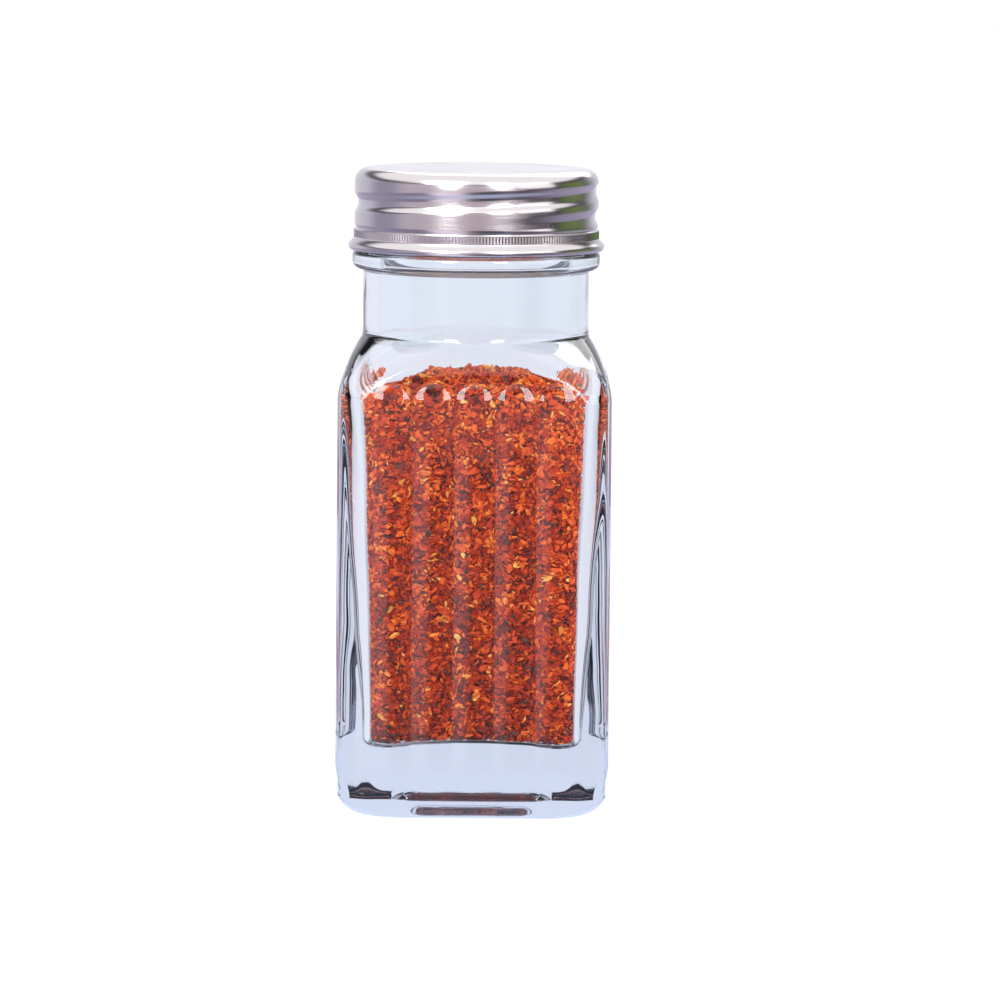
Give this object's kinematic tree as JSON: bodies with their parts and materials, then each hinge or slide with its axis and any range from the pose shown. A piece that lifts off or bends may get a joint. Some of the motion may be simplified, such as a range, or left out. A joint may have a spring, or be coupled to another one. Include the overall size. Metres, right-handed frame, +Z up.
{
  "type": "spice jar",
  "caption": "Square clear glass spice jar with ribbed faces, a round neck, a shaker insert and a rolled-thread steel screw lid, filled with chilli flakes.",
  "frame": {"origin": "centre of the base, on the surface that the jar stands on", "axes": "+Z up through the lid, -Y towards the face seen in the picture, +X to its right"},
  "size_m": [0.0452, 0.0452, 0.1064],
  "materials": {
    "glass": "clear, fire-polished, thick at the base",
    "chilli": "dry crushed chilli with seeds, dull with a little sheen",
    "sifter_plastic": "translucent white moulded polyethylene",
    "liner_foam": "white foamed polyethylene",
    "lid_steel": "stainless sheet, satin polished, with a knurled grip band"
  },
  "bodies": {
    "jar": {"glass_jar": "glass", "chilli_flakes": "chilli"},
    "liner": {"lid_liner": "liner_foam"},
    "lid": {"lid_shell": "lid_steel"},
    "sifter": {"sifter": "sifter_plastic"}
  },
  "joints": [
    {"name": "lid_lift", "type": "slide", "parent": "jar", "child": "liner", "axis": [0, 0, 1], "range_m": [0, 0.02521]},
    {"name": "lid_turn", "type": "hinge", "parent": "liner", "child": "lid", "pos_m": [0, 0, 0.1], "axis": [0, 0, 1], "range_deg": [0, 2160]},
    {"name": "sifter_pull", "type": "slide", "parent": "jar", "child": "sifter", "axis": [0, 0, 1], "range_m": [0, 0.01009]}
  ],
  "couplings": [
    {"joint": "lid_lift", "follows": "lid_turn", "m_per_rad": 0.00066845},
    {"joint": "sifter_pull", "follows": "lid_turn", "m_per_rad": 0.00026738}
  ]
}
